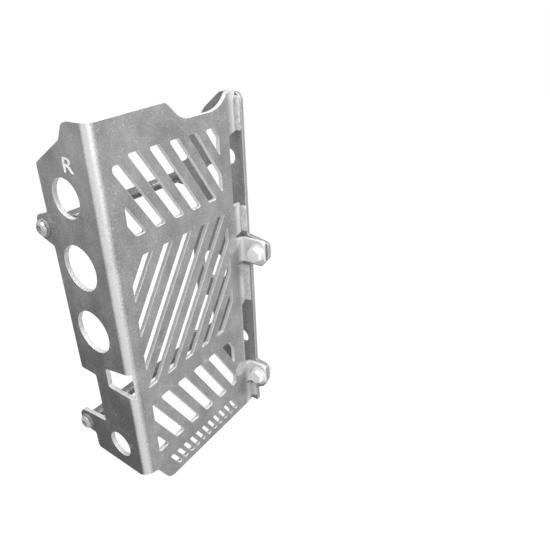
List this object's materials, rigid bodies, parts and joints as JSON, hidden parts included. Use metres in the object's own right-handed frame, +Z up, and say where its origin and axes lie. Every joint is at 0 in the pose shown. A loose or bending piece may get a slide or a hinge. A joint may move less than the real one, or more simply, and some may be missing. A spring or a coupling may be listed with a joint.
{
  "type": "motorcycle radiator guard",
  "caption": "Right-hand motorcycle radiator guard: a folded aluminium plate with rows of slanted slots, bolted to a side plate by short and long cross bolts.",
  "frame": {"origin": "centre of the upper mounting hole on the side plate's inboard face", "axes": "+X inboard, along the mounting holes and bolts; +Y back, away from the slotted front face; +Z up"},
  "size_m": [0.1323, 0.0907, 0.2609],
  "materials": {
    "shell_aluminium": "raw rolled sheet, satin with a fine mottled grain",
    "plate_aluminium": "raw rolled sheet, slightly glossier than the shell",
    "zinc_steel": "bright zinc plating"
  },
  "bodies": {
    "root": {"guard_shell": "shell_aluminium", "inner_side_plate": "plate_aluminium", "upper_tab_bolt": "zinc_steel", "upper_tab_washer": "zinc_steel", "upper_tab_nut": "zinc_steel", "upper_cross_bolt": "zinc_steel", "upper_cross_outer_washer": "zinc_steel", "upper_cross_inner_washer": "zinc_steel", "upper_cross_spacer": "zinc_steel", "upper_cross_nut": "zinc_steel", "lower_tab_bolt": "zinc_steel", "lower_tab_washer": "zinc_steel", "lower_tab_nut": "zinc_steel", "lower_cross_bolt": "zinc_steel", "lower_cross_outer_washer": "zinc_steel", "lower_cross_inner_washer": "zinc_steel", "lower_cross_spacer": "zinc_steel", "lower_cross_nut": "zinc_steel"}
  },
  "joints": []
}
